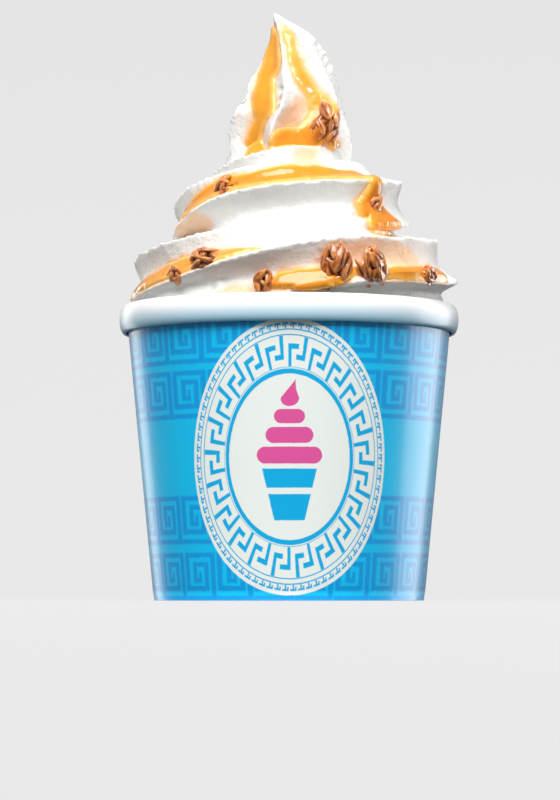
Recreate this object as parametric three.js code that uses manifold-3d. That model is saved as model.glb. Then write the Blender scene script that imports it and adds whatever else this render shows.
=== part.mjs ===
// A cup of frozen yogurt. A tapered paper cup with a rolled rim and a folded foot is filled with
// soft yogurt, which is piped on in one star-shaped rope that winds up to a leaning peak. Honey has
// run into the grooves, and clusters of baked oat flakes lie on it.
// Millimetres, +Z up, the front at -Y, the origin at the middle of the cup's foot.

import * as THREE from 'three';
import { mergeVertices } from 'three/addons/utils/BufferGeometryUtils.js';
import Module from 'manifold-3d';

const wasm = await Module();
wasm.setup();

// Cup
const CUP_HEIGHT = 69;
const RIM_RADIUS = 39.9;
const RIM_HEIGHT = 6.5;
const RIM_WIDTH = 2.4;
const FOOT_RADIUS = 31.7;
const WALL_TAPER = 0.0973;
const BOARD = 0.6;
const FLANGE_THICKNESS = 0.4;
const FOLD_HEIGHT = 6;
const DISC_UNDERSIDE = 6.5;
const FLANGE_BOTTOM = 1.1;
const CLEARANCE = 0.3;
const SPACE_RADIUS = 60;
const ROUND_STEPS = 56;
const RIM_STEPS = 7;
const CURL_START = 180;
const CURL_END = -110;

// Yogurt piped in a rope with a star section. A turn starts at the left and passes the front first.
// Each row of the course holds the turn, the distance of the rope's middle from the axis, its
// height, the star's radius and the star's twist in degrees.
const COURSE = [
  [-1.0, 18.0, 50.0, 10.0, -120],
  [-0.5, 24.5, 62.0, 10.8, -46],
  [0.0, 30.6, 70.5, 11.0, 34],
  [0.12, 30.3, 72.4, 11.0, 41],
  [0.3, 28.4, 75.3, 11.2, 88],
  [0.5, 25.7, 78.3, 11.3, 120],
  [1.0, 21.1, 86.0, 10.8, 213],
  [1.12, 19.9, 87.9, 10.8, 242],
  [1.25, 18.4, 90.2, 10.8, 251],
  [1.5, 16.0, 93.8, 10.6, 284],
  [2.0, 13.5, 96.5, 9.0, 365],
  [2.5, 7.5, 100.0, 6.5, 445],
  [2.75, 4.0, 101.0, 5.0, 480],
];
const STEPS_PER_TURN = 24;
const STEPS_PER_LENGTH = 12;
const STAR_TIPS = 6;
const POINTS_PER_TIP = 4;
const ROPE_GROOVE = 0.23;
const ROPE_ROUNDING = 1.3;
const ROPE_OFFSET = 2.9;
const ROPE_TILT = -0.0813;
const FRONT_TURN = 0.25;
const FRONT_TWIST = 13;
const FRONT_LIFT = 1;
const AXIS_GAP = 0.6;
const SPIGOT = 0.9;
const FINEST = 0.05;

// The heap of yogurt under the rope, as radius and height
const HEAP = [
  [36.2, 70.5],
  [34.6, 73.5],
  [30.0, 76.5],
  [20.0, 84.0],
  [12.0, 96.0],
];
const HEAP_TOP = 100;

// Peak. Each row holds the height, the star's radius, how far it leans towards +X and its twist.
const PEAK = [
  [92.0, 11.0, 1.5, -20],
  [98.0, 13.4, 1.4, -20],
  [104.0, 14.9, 0.8, -20],
  [110.0, 15.3, 0.3, -17],
  [116.0, 14.3, 0.4, -7],
  [122.0, 11.5, 1.3, -13],
  [128.0, 8.5, 1.8, -25],
  [134.0, 5.0, 0.5, -43],
  [139.0, 0.5, -3.6, -60],
];
const PEAK_LEVELS = 15;
const PEAK_GROOVE = 0.2;
const PEAK_ROUNDING = 1.5;
const PEAK_TOP = PEAK[PEAK.length - 1][0];
const PEAK_BOTTOM = PEAK[0][0];
const FRONT_ANGLE = 270;

// Honey that fills the grooves. Each run holds the first and last turn, the groove's angle behind
// the star's twist, and the bead's radius.
const HONEY_RUNS = [
  [1.02, 1.4, 210, 2.2],
  [-0.03, 0.22, 30, 2.2],
  [0.17, 0.46, 90, 2.6],
  [1.6, 1.86, 210, 2.0],
  [0.68, 0.9, 90, 2.3],
];
const HONEY_DEPTH = 0.9;
const HONEY_SIDES = 7;
const HONEY_STEP = 4;
const DRIP_TURN = 1.365;
const DRIP_ANGLES = [215, 228, 240, 252, 270, 288];
const DRIP_RADIUS = 1.7;
const PEAK_HONEY_GROOVES = [-30, 30, 150];
const PEAK_HONEY_RADIUS = 1.5;
const PEAK_HONEY_TOP = 132;
const PEAK_HONEY_BOTTOM = 105;

// Clusters of oat flakes. Each row holds the bearing round the axis, the distance from it, the
// height, the width, the length, the lean to the right, and the number of flakes.
const OAT_CLUSTERS = [
  [306, 14.4, 110.5, 6.6, 9.0, 22, 4],
  [233, 23.8, 94.9, 4.6, 5.6, 60, 3],
  [239, 36.4, 76.9, 5.6, 8.2, 80, 4],
  [227, 37.4, 74.0, 4.0, 4.6, 50, 3],
  [286, 37.1, 75.3, 7.0, 10.4, -8, 5],
  [298, 37.1, 75.1, 7.0, 10.0, -28, 5],
  [323.5, 38.0, 74.4, 3.4, 5.6, -70, 3],
  [316, 26.6, 91.0, 3.0, 4.8, 10, 3],
  [261, 36.6, 71.4, 4.0, 5.6, 0, 3],
  [95, 24.6, 93.4, 6.0, 8.4, 40, 4],
  [55, 36.2, 77.4, 5.2, 7.8, 75, 3],
  [128, 35.2, 79.4, 4.0, 5.8, -30, 3],
];
const FLAKE_DETAIL = 1;
const FLAKE_SHAPE = [0.36, 0.25, 0.16];
const FLAKE_SPREAD = [0.2, 0.12, 0.3];
const FLAKE_TILT = 55;
const FLAKE_SIZES = [0.88, 1.12];
const FIRST_SEED = 1000;
const SEED_STEP = 37;
const SEED_FACTOR = 16807;
const SEED_LIMIT = 2147483647;

// Colours
const BOARD_BLUE = 0x21b0e0;
const BOARD_WHITE = 0xf4f6f7;
const YOGURT_WHITE = 0xfaf9f6;
const OAT_BROWN = 0xb4702f;

const radians = THREE.MathUtils.degToRad;
const MERGE_DISTANCE = 1e-4;

// A smooth line through rows of [place, value, value, ...], read at any place
function smoothRows(rows) {
  const places = rows.map((row) => row[0]);
  const values = rows.flatMap((row) => row.slice(1));
  return new THREE.CubicInterpolant(places, values, rows[0].length - 1);
}

// Closed geometry to a solid that can be joined and cut
function solidFrom(geometry) {
  const bare = new THREE.BufferGeometry();
  bare.setAttribute('position', geometry.getAttribute('position').clone());
  if (geometry.index) {
    bare.setIndex(geometry.index.clone());
  }
  const merged = mergeVertices(bare, MERGE_DISTANCE);
  const vertProperties = Float32Array.from(merged.getAttribute('position').array);
  const triVerts = Uint32Array.from(merged.index.array);
  return new wasm.Manifold(new wasm.Mesh({ numProp: 3, vertProperties, triVerts }));
}

// Solid back to geometry, as a mesh with flat faces
function meshFrom(solid, name, material) {
  const data = solid.getMesh();
  const geometry = new THREE.BufferGeometry();
  geometry.setAttribute('position', new THREE.BufferAttribute(data.vertProperties, 3));
  geometry.setIndex(new THREE.BufferAttribute(data.triVerts, 1));
  geometry.computeVertexNormals();
  const mesh = new THREE.Mesh(geometry, material);
  mesh.name = name;
  return mesh;
}

// Closed profile of [radius, height] turned about the axis
function turned(profile) {
  const points = profile.map(([radius, height]) => new THREE.Vector2(radius, height));
  const geometry = new THREE.LatheGeometry(points, ROUND_STEPS);
  geometry.rotateX(Math.PI / 2);
  return solidFrom(geometry);
}

// Closed skin over a row of rings, which all have the same number of points
function loft(rings) {
  const count = rings[0].length;
  const positions = [];
  const faces = [];
  for (const ring of rings) {
    for (const point of ring) {
      positions.push(point.x, point.y, point.z);
    }
  }
  for (let level = 0; level < rings.length - 1; level += 1) {
    for (let side = 0; side < count; side += 1) {
      const next = (side + 1) % count;
      const low = level * count;
      const high = low + count;
      faces.push(low + side, low + next, high + next);
      faces.push(low + side, high + next, high + side);
    }
  }
  for (const [level, reversed] of [[0, true], [rings.length - 1, false]]) {
    const middle = new THREE.Vector3();
    for (const point of rings[level]) {
      middle.addScaledVector(point, 1 / count);
    }
    const hub = positions.length / 3;
    positions.push(middle.x, middle.y, middle.z);
    for (let side = 0; side < count; side += 1) {
      const here = level * count + side;
      const next = level * count + ((side + 1) % count);
      faces.push(...(reversed ? [hub, next, here] : [hub, here, next]));
    }
  }
  const geometry = new THREE.BufferGeometry();
  geometry.setAttribute('position', new THREE.Float32BufferAttribute(positions, 3));
  geometry.setIndex(faces);
  return solidFrom(geometry);
}

// Star section with concave walls, as [angle, distance] pairs
function starSection(groove, rounding) {
  const section = [];
  const spread = (2 * Math.PI) / STAR_TIPS;
  for (let tip = 0; tip < STAR_TIPS; tip += 1) {
    const start = new THREE.Vector2(Math.cos(tip * spread), Math.sin(tip * spread));
    const end = new THREE.Vector2(Math.cos((tip + 1) * spread), Math.sin((tip + 1) * spread));
    const middle = (tip + 0.5) * spread;
    for (let step = 0; step < POINTS_PER_TIP; step += 1) {
      const share = step / POINTS_PER_TIP;
      const depth = groove * (1 - Math.abs(2 * share - 1) ** rounding);
      const point = start.clone().lerp(end, share);
      point.x -= depth * Math.cos(middle);
      point.y -= depth * Math.sin(middle);
      section.push([point.angle(), point.length()]);
    }
  }
  return section;
}

const wallRadius = (height) => FOOT_RADIUS + WALL_TAPER * height;

const rimMiddle = new THREE.Vector2(RIM_RADIUS - RIM_WIDTH / 2, CUP_HEIGHT - RIM_HEIGHT / 2);

// Oval stretch of the rolled rim, inset from its outer face
function rimOval(inset, start, end) {
  const points = [];
  for (let step = 0; step <= RIM_STEPS; step += 1) {
    const angle = radians(start + ((end - start) * step) / RIM_STEPS);
    points.push([
      rimMiddle.x + (RIM_WIDTH / 2 - inset) * Math.cos(angle),
      rimMiddle.y + (RIM_HEIGHT / 2 - inset) * Math.sin(angle),
    ]);
  }
  return points;
}

// Board wall: folded in at the foot, and rolled outwards at the rim
function makeCupSide() {
  const foldOuter = BOARD + 2 * CLEARANCE + FLANGE_THICKNESS;
  const foldInner = foldOuter + BOARD;
  const outside = [
    [wallRadius(0) - foldInner, FOLD_HEIGHT],
    [wallRadius(0) - foldInner, 0],
    [wallRadius(0), 0],
    [wallRadius(rimMiddle.y - RIM_HEIGHT / 2), rimMiddle.y - RIM_HEIGHT / 2],
  ];
  const curlInside = rimOval(BOARD, CURL_START, CURL_END);
  const curlOutside = rimOval(0, CURL_END, CURL_START);
  const inside = [
    [wallRadius(BOARD) - BOARD, BOARD],
    [wallRadius(BOARD) - foldOuter, BOARD],
    [wallRadius(0) - foldOuter, FOLD_HEIGHT],
  ];
  return turned([...outside, ...curlInside, ...curlOutside, ...inside, outside[0]]);
}

// Bottom disc with the flange that the folded foot holds
function makeCupBottom() {
  const flangeOuter = BOARD + CLEARANCE;
  const flangeInner = flangeOuter + FLANGE_THICKNESS;
  const discTop = DISC_UNDERSIDE + BOARD;
  return turned([
    [0, DISC_UNDERSIDE],
    [wallRadius(0) - flangeInner, DISC_UNDERSIDE],
    [wallRadius(0) - flangeInner, FLANGE_BOTTOM],
    [wallRadius(FLANGE_BOTTOM) - flangeOuter, FLANGE_BOTTOM],
    [wallRadius(discTop) - flangeOuter, discTop],
    [0, discTop],
  ]);
}

// Everything that the yogurt has to keep clear of: wall, rim, and the air below the rim
function makeCupSpace() {
  const lip = rimOval(-CLEARANCE, 0, CURL_START);
  const inner = BOARD + CLEARANCE;
  return turned([
    [wallRadius(0) - inner, 0],
    [SPACE_RADIUS, 0],
    [SPACE_RADIUS, rimMiddle.y],
    ...lip,
    [wallRadius(0) - inner, 0],
  ]);
}

const course = smoothRows(COURSE);
const ropeSection = starSection(ROPE_GROOVE, ROPE_ROUNDING).reverse();

// The rope's size and place at a turn
function ropeAt(turn) {
  const [radius, height, star, twist] = course.evaluate(turn);
  const front = Math.max(0, Math.cos(2 * Math.PI * (turn - FRONT_TURN))) ** 2;
  return {
    radius,
    height: height + FRONT_LIFT * front,
    star,
    twist: twist + FRONT_TWIST * front,
    bearing: Math.PI * (1 + 2 * turn),
  };
}

// A point of the rope's section, with the part that faces the axis pressed flat before it
function ropePoint(turn, angle, distance) {
  const rope = ropeAt(turn);
  let outward = distance * Math.cos(angle);
  if (outward < 0) {
    outward *= Math.min(1, (rope.radius - AXIS_GAP) / rope.star);
  }
  const x = ROPE_OFFSET + (rope.radius + outward) * Math.cos(rope.bearing);
  const y = (rope.radius + outward) * Math.sin(rope.bearing);
  return new THREE.Vector3(x, y, rope.height + distance * Math.sin(angle) + ROPE_TILT * x);
}

function ropeRing(turn, share = 1) {
  const rope = ropeAt(turn);
  return ropeSection.map(([angle, size]) =>
    ropePoint(turn, angle + radians(rope.twist), share * size * rope.star));
}

// The whole rope, as lengths that each start a step early, as a spigot inside the one before
function makeRope() {
  const first = COURSE[0][0];
  const last = COURSE[COURSE.length - 1][0];
  const total = Math.round((last - first) * STEPS_PER_TURN);
  const lengths = [];
  for (let start = 0; start < total; start += STEPS_PER_LENGTH) {
    const rings = start > 0 ? [ropeRing(first + (start - 1) / STEPS_PER_TURN, SPIGOT)] : [];
    for (let step = start; step <= Math.min(start + STEPS_PER_LENGTH, total); step += 1) {
      rings.push(ropeRing(first + step / STEPS_PER_TURN));
    }
    lengths.push(loft(rings));
  }
  return lengths;
}

const peak = smoothRows(PEAK);
const peakSection = starSection(PEAK_GROOVE, PEAK_ROUNDING);

function peakPoint(height, angle, size) {
  const [radius, lean, twist] = peak.evaluate(height);
  const turnedAngle = angle + radians(FRONT_ANGLE + twist);
  const distance = radius * size;
  return new THREE.Vector3(
    lean + distance * Math.cos(turnedAngle),
    distance * Math.sin(turnedAngle),
    height,
  );
}

// Star-lobed drop that the last of the rope is drawn up to
function makePeak() {
  const rings = [];
  for (let level = 0; level <= PEAK_LEVELS; level += 1) {
    const height = THREE.MathUtils.lerp(PEAK_BOTTOM, PEAK_TOP, level / PEAK_LEVELS);
    rings.push(peakSection.map(([angle, size]) => peakPoint(height, angle, size)));
  }
  return loft(rings);
}

// Yogurt that fills the cup, heaped under the rope
function makeFill() {
  const bottom = DISC_UNDERSIDE + BOARD + CLEARANCE;
  const inner = BOARD + CLEARANCE;
  return turned([
    [0, bottom],
    [wallRadius(bottom) - inner, bottom],
    [wallRadius(rimMiddle.y) - inner, rimMiddle.y],
    ...HEAP,
    [0, HEAP_TOP],
  ]);
}

// Bead of honey along a row of points
function bead(points, radius) {
  const curve = new THREE.CatmullRomCurve3(points);
  const outline = new THREE.Shape();
  for (let side = 0; side < HONEY_SIDES; side += 1) {
    const angle = (2 * Math.PI * side) / HONEY_SIDES;
    const draw = side === 0 ? 'moveTo' : 'lineTo';
    outline[draw](radius * Math.cos(angle), radius * Math.sin(angle));
  }
  const steps = Math.max(4, Math.round(curve.getLength() / HONEY_STEP));
  return solidFrom(new THREE.ExtrudeGeometry(outline, { steps, extrudePath: curve }));
}

// Honey in the rope's grooves, with the ends of each run sinking in
function makeHoneyRuns() {
  return HONEY_RUNS.map(([first, last, behind, radius]) => {
    const points = [];
    const steps = Math.round((last - first) * STEPS_PER_TURN);
    for (let step = 0; step <= steps; step += 1) {
      const turn = first + ((last - first) * step) / steps;
      const rope = ropeAt(turn);
      const sink = step === 0 || step === steps ? 1.5 * radius : HONEY_DEPTH;
      const groove = rope.star * (Math.cos(Math.PI / STAR_TIPS) - ROPE_GROOVE);
      points.push(ropePoint(turn, radians(rope.twist - behind), groove - sink));
    }
    return bead(points, radius);
  });
}

// Honey that drips over a crest at the front right
function makeDrip() {
  const rope = ropeAt(DRIP_TURN);
  const spread = 360 / STAR_TIPS;
  const points = DRIP_ANGLES.map((behind) => {
    const fromTip = Math.abs(((behind + spread / 2) % spread) - spread / 2) / (spread / 2);
    const hollow = Math.cos(Math.PI / STAR_TIPS) - ROPE_GROOVE;
    const size = THREE.MathUtils.lerp(1, hollow, fromTip);
    const atEnd = behind === DRIP_ANGLES[0] || behind === DRIP_ANGLES[DRIP_ANGLES.length - 1];
    const sink = atEnd ? 2 * DRIP_RADIUS : HONEY_DEPTH;
    return ropePoint(DRIP_TURN, radians(rope.twist - behind), rope.star * size - sink);
  });
  return bead(points, DRIP_RADIUS);
}

// Honey in the peak's grooves
function makePeakHoney() {
  return PEAK_HONEY_GROOVES.map((groove) => {
    const points = [];
    for (let height = PEAK_HONEY_BOTTOM; height <= PEAK_HONEY_TOP; height += HONEY_STEP) {
      const [radius] = peak.evaluate(height);
      const hollow = Math.cos(Math.PI / STAR_TIPS) - PEAK_GROOVE;
      points.push(peakPoint(height, radians(groove), hollow - HONEY_DEPTH / radius));
    }
    return bead(points, PEAK_HONEY_RADIUS);
  });
}

// Repeatable random numbers between 0 and 1
function seededRandom(seed) {
  let state = seed;
  return () => {
    state = (state * SEED_FACTOR) % SEED_LIMIT;
    return state / SEED_LIMIT;
  };
}

// Cluster of oat flakes stuck together, or the socket that it sits in when it is grown
function makeOatCluster(row, index, grown) {
  const [bearing, radius, height, width, length, lean, flakes] = row;
  const random = seededRandom(FIRST_SEED + SEED_STEP * index);
  const between = (low, high) => low + (high - low) * random();
  const place = new THREE.Matrix4().makeRotationZ(radians(bearing + 90));
  place.multiply(new THREE.Matrix4().makeTranslation(0, -radius, height));
  place.multiply(new THREE.Matrix4().makeRotationY(radians(lean)));
  let cluster = null;
  for (let flake = 0; flake < flakes; flake += 1) {
    const size = length * between(...FLAKE_SIZES);
    const [long, wide, thin] = FLAKE_SHAPE.map((share) => share * size + grown);
    const along = ((flake + 0.5) / flakes - 0.5) * 2;
    const turn = new THREE.Euler(
      radians(between(-FLAKE_TILT, FLAKE_TILT)),
      radians(between(-FLAKE_TILT, FLAKE_TILT)),
      radians(between(-FLAKE_TILT, FLAKE_TILT)),
    );
    const geometry = new THREE.OctahedronGeometry(1, FLAKE_DETAIL);
    geometry.scale(wide, thin, long);
    geometry.applyMatrix4(new THREE.Matrix4().makeRotationFromEuler(turn));
    geometry.translate(
      width * FLAKE_SPREAD[0] * between(-1, 1),
      width * FLAKE_SPREAD[1] * between(-1, 1),
      length * FLAKE_SPREAD[2] * along,
    );
    geometry.applyMatrix4(place);
    const solid = solidFrom(geometry);
    cluster = cluster ? cluster.add(solid) : solid;
  }
  return cluster;
}

// The largest of a solid's closed skins, without the bubbles sealed inside it or the finest slivers
function outerSkin(solid) {
  const skins = solid.simplify(FINEST).decompose();
  return skins.reduce((best, skin) => (skin.volume() > best.volume() ? skin : best));
}

const board = new THREE.MeshStandardMaterial({ color: BOARD_BLUE, roughness: 0.45, metalness: 0 });
const white = new THREE.MeshStandardMaterial({ color: BOARD_WHITE, roughness: 0.5, metalness: 0 });
const cream = new THREE.MeshStandardMaterial({ color: YOGURT_WHITE, roughness: 0.55, metalness: 0 });
const toasted = new THREE.MeshStandardMaterial({ color: OAT_BROWN, roughness: 0.35, metalness: 0 });

let yogurt = makeFill();
for (const solid of [...makeRope(), makePeak(), ...makeHoneyRuns(), makeDrip(), ...makePeakHoney()]) {
  yogurt = yogurt.add(solid);
}
yogurt = yogurt.subtract(makeCupSpace());
for (const [index, row] of OAT_CLUSTERS.entries()) {
  yogurt = yogurt.subtract(makeOatCluster(row, index, CLEARANCE));
}

const cup = new THREE.Group();
cup.add(meshFrom(makeCupSide(), 'cup_side', board));
cup.add(meshFrom(makeCupBottom(), 'cup_bottom', white));
cup.add(meshFrom(outerSkin(yogurt), 'yogurt', cream));
for (const [index, row] of OAT_CLUSTERS.entries()) {
  const name = `oat_cluster_${String(index + 1).padStart(2, '0')}`;
  cup.add(meshFrom(outerSkin(makeOatCluster(row, index, 0)), name, toasted));
}

export default cup;
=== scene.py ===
"""A frozen yogurt cup: a printed paper cup, a star-piped swirl of yogurt, honey in its grooves and
clusters of baked oats. Run as a script in Blender 4.5. Lengths in the tables are in millimetres."""
import math

import bmesh
import bpy
import numpy as np
from bpy.props import FloatProperty, FloatVectorProperty, IntProperty, PointerProperty
from mathutils import Euler, Matrix, Vector, noise
from mathutils.kdtree import KDTree


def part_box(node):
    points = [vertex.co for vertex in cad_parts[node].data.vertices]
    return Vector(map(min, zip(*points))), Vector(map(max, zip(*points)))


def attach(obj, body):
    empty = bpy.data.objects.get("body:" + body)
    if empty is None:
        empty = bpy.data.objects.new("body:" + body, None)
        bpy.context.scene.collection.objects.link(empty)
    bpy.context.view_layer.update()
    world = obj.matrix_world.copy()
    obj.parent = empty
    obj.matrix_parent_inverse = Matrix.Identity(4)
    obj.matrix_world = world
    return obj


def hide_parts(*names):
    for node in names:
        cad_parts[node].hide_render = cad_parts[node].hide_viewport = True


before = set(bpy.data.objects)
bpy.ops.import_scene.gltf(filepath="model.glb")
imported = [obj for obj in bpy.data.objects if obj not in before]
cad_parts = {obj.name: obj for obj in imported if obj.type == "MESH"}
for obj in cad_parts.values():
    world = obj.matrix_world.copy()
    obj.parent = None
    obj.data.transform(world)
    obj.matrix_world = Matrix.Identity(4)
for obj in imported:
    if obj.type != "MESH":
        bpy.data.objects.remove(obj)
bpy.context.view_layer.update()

bl_info = {
    "name": "Frozen Yogurt Cup",
    "version": (1, 0, 0),
    "blender": (4, 5, 0),
    "location": "3D Viewport > Sidebar > Yogurt Cup",
    "description": "Builds a printed paper cup of piped frozen yogurt with honey and baked oats",
    "category": "Object",
}

MM = 0.001
BODY = "root"

# The cup, in millimetres, from the frame and from how such a cup is folded
CUP_LOW, CUP_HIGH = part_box("cup_side")
CUP_HEIGHT = CUP_HIGH.z / MM
RIM_RADIUS = 39.9
RIM_HEIGHT = 6.5
RIM_WIDTH = 2.4
FOOT_RADIUS = 31.7
WALL_TAPER = 0.0973
BOARD = 0.6
CLEARANCE = 0.3
FLANGE_THICKNESS = 0.4
FLANGE_BOTTOM = 1.1
FOLD_HEIGHT = 6
DISC_UNDERSIDE = 6.5
RIM_MIDDLE = (RIM_RADIUS - RIM_WIDTH / 2, CUP_HEIGHT - RIM_HEIGHT / 2)
CURL_START = 180
CURL_END = -110
FOLD_ROUNDING = 0.2
DISC_ROUNDING = 0.18
LAP_HALF_ANGLE = 7
LAP_RISE = 0.22
LAP_EDGE_SLOPE = 1.6
LAP_FADE = 2.4
PRINT_TOP = CUP_HEIGHT - RIM_HEIGHT + 0.15

# The piped rope: turn, radius of its middle, height, reach of its star section, twist in degrees
COURSE = [
    (-1.0, 18.0, 50.0, 10.0, -120),
    (-0.5, 24.5, 62.0, 10.8, -46),
    (0.0, 30.6, 70.5, 11.0, 34),
    (0.12, 30.3, 72.4, 11.0, 41),
    (0.3, 28.4, 75.3, 11.2, 88),
    (0.5, 25.7, 78.3, 11.3, 120),
    (1.0, 21.1, 86.0, 10.8, 213),
    (1.12, 19.9, 87.9, 10.8, 242),
    (1.25, 18.4, 90.2, 10.8, 251),
    (1.5, 16.0, 93.8, 10.6, 284),
    (2.0, 13.5, 96.5, 9.0, 365),
    (2.5, 7.5, 100.0, 6.5, 445),
    (2.75, 4.0, 101.0, 5.0, 480),
]
STAR_TIPS = 6
POINTS_PER_TIP = 12
RINGS_PER_TURN = 110
ROPE_GROOVE = 0.23
ROPE_ROUNDING = 1.3
ROPE_OFFSET = 2.9
ROPE_TILT = -0.0813
FRONT_TURN = 0.25
FRONT_TWIST = 13
FRONT_LIFT = 1
AXIS_GAP = 0.6

# The peak: height, radius, lean to the right, twist in degrees
PEAK = [
    (92.0, 11.0, 1.5, -20),
    (98.0, 13.4, 1.4, -20),
    (104.0, 14.9, 0.8, -20),
    (110.0, 15.3, 0.3, -17),
    (116.0, 14.3, 0.4, -7),
    (122.0, 11.5, 1.3, -13),
    (128.0, 8.5, 1.8, -25),
    (134.0, 5.0, 0.5, -43),
    (139.0, 0.5, -3.6, -60),
]
PEAK_RINGS = 90
PEAK_GROOVE = 0.2
PEAK_ROUNDING = 1.5
PEAK_FRONT = 270

# The heap under the rope: radius, height
HEAP = [(36.2, 70.5), (34.6, 73.5), (30.0, 76.5), (20.0, 84.0), (12.0, 96.0)]
HEAP_TOP = 100
SWIRL_CUT = 55
FILL_BOTTOM = DISC_UNDERSIDE + BOARD + CLEARANCE
DRAFT_BOTTOM = FILL_BOTTOM + 20

# Patches of honey on the rope: corners as turn and section angle in degrees, and depth
ROPE_HONEY = [
    ([(1.03, 156), (1.066, 163), (1.11, 172), (1.175, 169), (1.23, 172), (1.275, 171), (1.303, 167),
      (1.357, 161), (1.4, 150), (1.4, 128), (1.35, 126), (1.3, 128), (1.24, 126), (1.2, 128), (1.15, 134),
      (1.1, 138), (1.07, 134), (1.03, 132)], 1.1),
    ([(1.345, 150), (1.352, 122), (1.346, 105), (1.33, 92), (1.336, 80), (1.348, 62), (1.352, 50), (1.43, 50),
      (1.42, 66), (1.403, 74), (1.394, 82), (1.378, 100), (1.374, 122), (1.385, 150)], 1.4),
    ([(0.35, 346), (0.35, 372), (0.42, 372), (0.42, 350)], 0.8),
    ([(2.08, 390), (2.08, 425), (2.34, 415), (2.34, 366), (2.2, 364)], 0.8),
    ([(0.0, 304), (0.03, 320), (0.056, 327), (0.092, 333), (0.138, 335), (0.165, 333), (0.205, 321),
      (0.215, 309), (0.174, 307), (0.147, 307), (0.11, 306), (0.074, 305), (0.03, 303)], 1.0),
    ([(0.19, 246), (0.2, 256), (0.22, 262), (0.225, 269), (0.27, 267), (0.3, 263), (0.34, 261), (0.375, 265),
      (0.42, 266), (0.438, 253), (0.428, 243), (0.383, 242), (0.356, 241), (0.33, 246), (0.305, 251),
      (0.285, 236), (0.25, 232), (0.205, 234)], 1.3),
    ([(1.6, 130), (1.65, 165), (1.85, 165), (1.9, 130)], 1.1),
    ([(0.66, 245), (0.7, 285), (0.88, 285), (0.92, 245)], 1.2),
]
# Patches of honey on the peak: corners as height and section angle in degrees, and depth
PEAK_HONEY = [
    ([(138, -62), (134, -14), (131, -10), (127, -6), (122, -24), (117, -16), (113, -13), (110, -20),
      (106, -22), (104, -46), (108, -42), (113, -40), (117, -50), (122, -52), (128, -56)], 0.8),
    ([(138, 54), (134, 11), (129, 10), (125, 10), (121.5, 18), (117, 31), (113, 34), (110.5, 28), (110, 8),
      (107, -2), (104, -4), (104, 97), (108, 104), (113, 72), (116, 54), (121, 40), (125, 34), (130, 32),
      (134, 42)], 0.7),
    ([(132, 140), (112, 136), (104, 150), (112, 164), (132, 160)], 0.9),
]
# Places where the yogurt is only stained: corners as turn, or height on the peak, and section angle
ROPE_STAINS = [
    [(0.25, 264), (0.262, 285), (0.28, 293), (0.31, 296), (0.36, 296), (0.385, 286), (0.4, 262)],
    [(1.02, 122), (1.1, 116), (1.11, 92), (1.1, 78), (1.02, 78)],
    [(2.225, 322), (2.235, 360), (2.3, 360), (2.285, 322)],
    [(1.235, 166), (1.23, 194), (1.29, 194), (1.285, 166)],
    [(0.13, 244), (0.17, 262), (0.24, 262), (0.24, 236)],
]
PEAK_STAINS = [
    [(109, 2), (112, 2), (117, 16), (118, 34), (110, 38)],
]
STAIN_REACH = 1.5
STAIN_SHARE = 0.7
# Small dents below 0 and lumps above it: x, y, z, how far they spread and how deep they are
PRESSES = [
    (-2.2, -10.6, 119.0, 1.1, -0.9), (-2.2, -11.4, 117.8, 0.8, 0.6), (-2.6, -11.2, 116.7, 1.1, -0.95),
    (-2.7, -12.0, 115.6, 0.8, 0.6), (-3.1, -11.9, 114.5, 1.1, -0.9), (-3.0, -12.8, 113.4, 0.8, 0.5),
    (6.9, -1.2, 131.1, 0.9, -0.6), (7.8, -0.9, 129.8, 0.9, -0.65), (8.8, -0.4, 128.2, 0.9, -0.65),
    (9.7, 0.3, 126.6, 0.9, -0.6), (-10.9, -4.9, 118.0, 2.2, -1.0), (-9.2, -5.8, 116.9, 1.6, -0.7),
    (15.4, -22.3, 87.9, 0.9, -1.2), (17.8, -21.2, 88.1, 0.9, -1.3), (16.6, -22.4, 86.6, 1.0, 0.9),
    (-17.5, -31.7, 70.3, 0.9, -0.5), (-15.9, -32.2, 71.6, 0.8, 0.4), (-15.0, -32.0, 72.6, 0.7, -0.5),
    (12.6, -36.2, 70.8, 1.2, 0.6), (15.2, -36.2, 71.8, 1.2, 0.6),
]
BROAD_WAVES = 0.16
FINE_WAVES = 0.75
FINE_SHARE = 0.14
FINE_OFFSET = Vector((9, 3, 5))
TEAR_DEGREES = 7
TEAR_DEPTH = 0.1
TEAR_LENGTH = 0.9
ROPE = 0
PEAK_KIND = 1
FAR = 8.0
HONEY_LOWEST = 69.2
SECTION_DEGREE = 0.175
SWIRL_PASSES = 3
EVEN_PASSES = 5
STRAY = 0.5

# Clusters of oats: bearing in degrees, radius, height, width, length, lean in degrees, flakes
OAT_CLUSTERS = [
    (306, 14.4, 110.5, 6.6, 9.0, 22, 4),
    (233, 23.8, 94.9, 4.6, 5.6, 60, 3),
    (239, 36.4, 76.9, 5.6, 8.2, 80, 4),
    (227, 37.4, 74.0, 4.0, 4.6, 50, 3),
    (286, 37.1, 75.3, 7.0, 10.4, -8, 5),
    (298, 37.1, 75.1, 7.0, 10.0, -28, 5),
    (323.5, 38.0, 74.4, 3.4, 5.6, -70, 3),
    (316, 26.6, 91.0, 3.0, 4.8, 10, 3),
    (261, 36.6, 71.4, 4.0, 5.6, 0, 3),
    (95, 24.6, 93.4, 6.0, 8.4, 40, 4),
    (55, 36.2, 77.4, 5.2, 7.8, 75, 3),
    (128, 35.2, 79.4, 4.0, 5.8, -30, 3),
]
FLAKE_SHAPE = (0.36, 0.25, 0.16)
FLAKE_SPREAD = (0.2, 0.12, 0.3)
FLAKE_TILT = 55
FLAKE_SIZES = (0.88, 1.12)
FIRST_SEED = 1000
SEED_STEP = 37
SEED_FACTOR = 16807
SEED_LIMIT = 2147483647

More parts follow.
